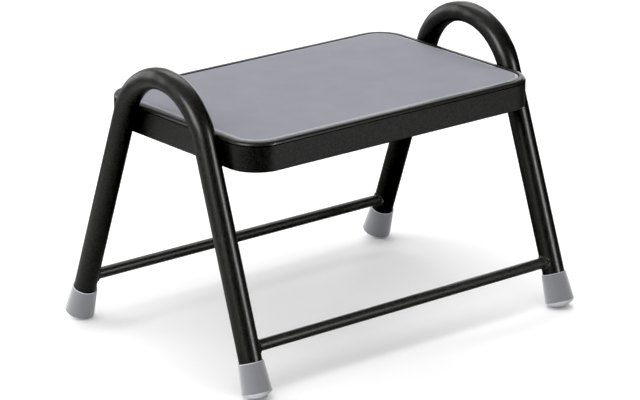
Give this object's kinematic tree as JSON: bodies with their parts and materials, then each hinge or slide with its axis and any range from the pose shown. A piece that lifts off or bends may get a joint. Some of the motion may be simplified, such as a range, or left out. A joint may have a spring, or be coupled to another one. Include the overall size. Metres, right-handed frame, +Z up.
{
  "type": "caravan entry step",
  "caption": "Portable caravan step: black bent-tube leg frames with handle arches carry a moulded tray with a grey tread panel, on domed grey foot caps.",
  "frame": {"origin": "on the floor, under the middle of the tread", "axes": "+X along the tread from one handle arch to the other, +Y from front to back, +Z up"},
  "size_m": [0.4138, 0.3074, 0.2841],
  "materials": {
    "frame_black": "satin black powder coat",
    "stretcher_black": "satin black powder coat over the weld",
    "tray_black": "finely grained moulding with a smooth rim",
    "tread_grey": "matte, fine anti-slip grain",
    "foot_grey": "smooth, half matte",
    "zinc": "bright zinc plating"
  },
  "bodies": {
    "root": {"leg_frame_left": "frame_black", "leg_frame_right": "frame_black", "stretcher_front": "stretcher_black", "stretcher_back": "stretcher_black", "stretcher_weld_front_left": "stretcher_black", "stretcher_weld_front_right": "stretcher_black", "stretcher_weld_back_left": "stretcher_black", "stretcher_weld_back_right": "stretcher_black", "tray": "tray_black", "tread_panel": "tread_grey", "foot_cap_front_left": "foot_grey", "foot_cap_front_right": "foot_grey", "foot_cap_back_left": "foot_grey", "foot_cap_back_right": "foot_grey", "tray_screws": "zinc", "tray_washers": "zinc", "rivet_nuts": "zinc"}
  },
  "joints": []
}
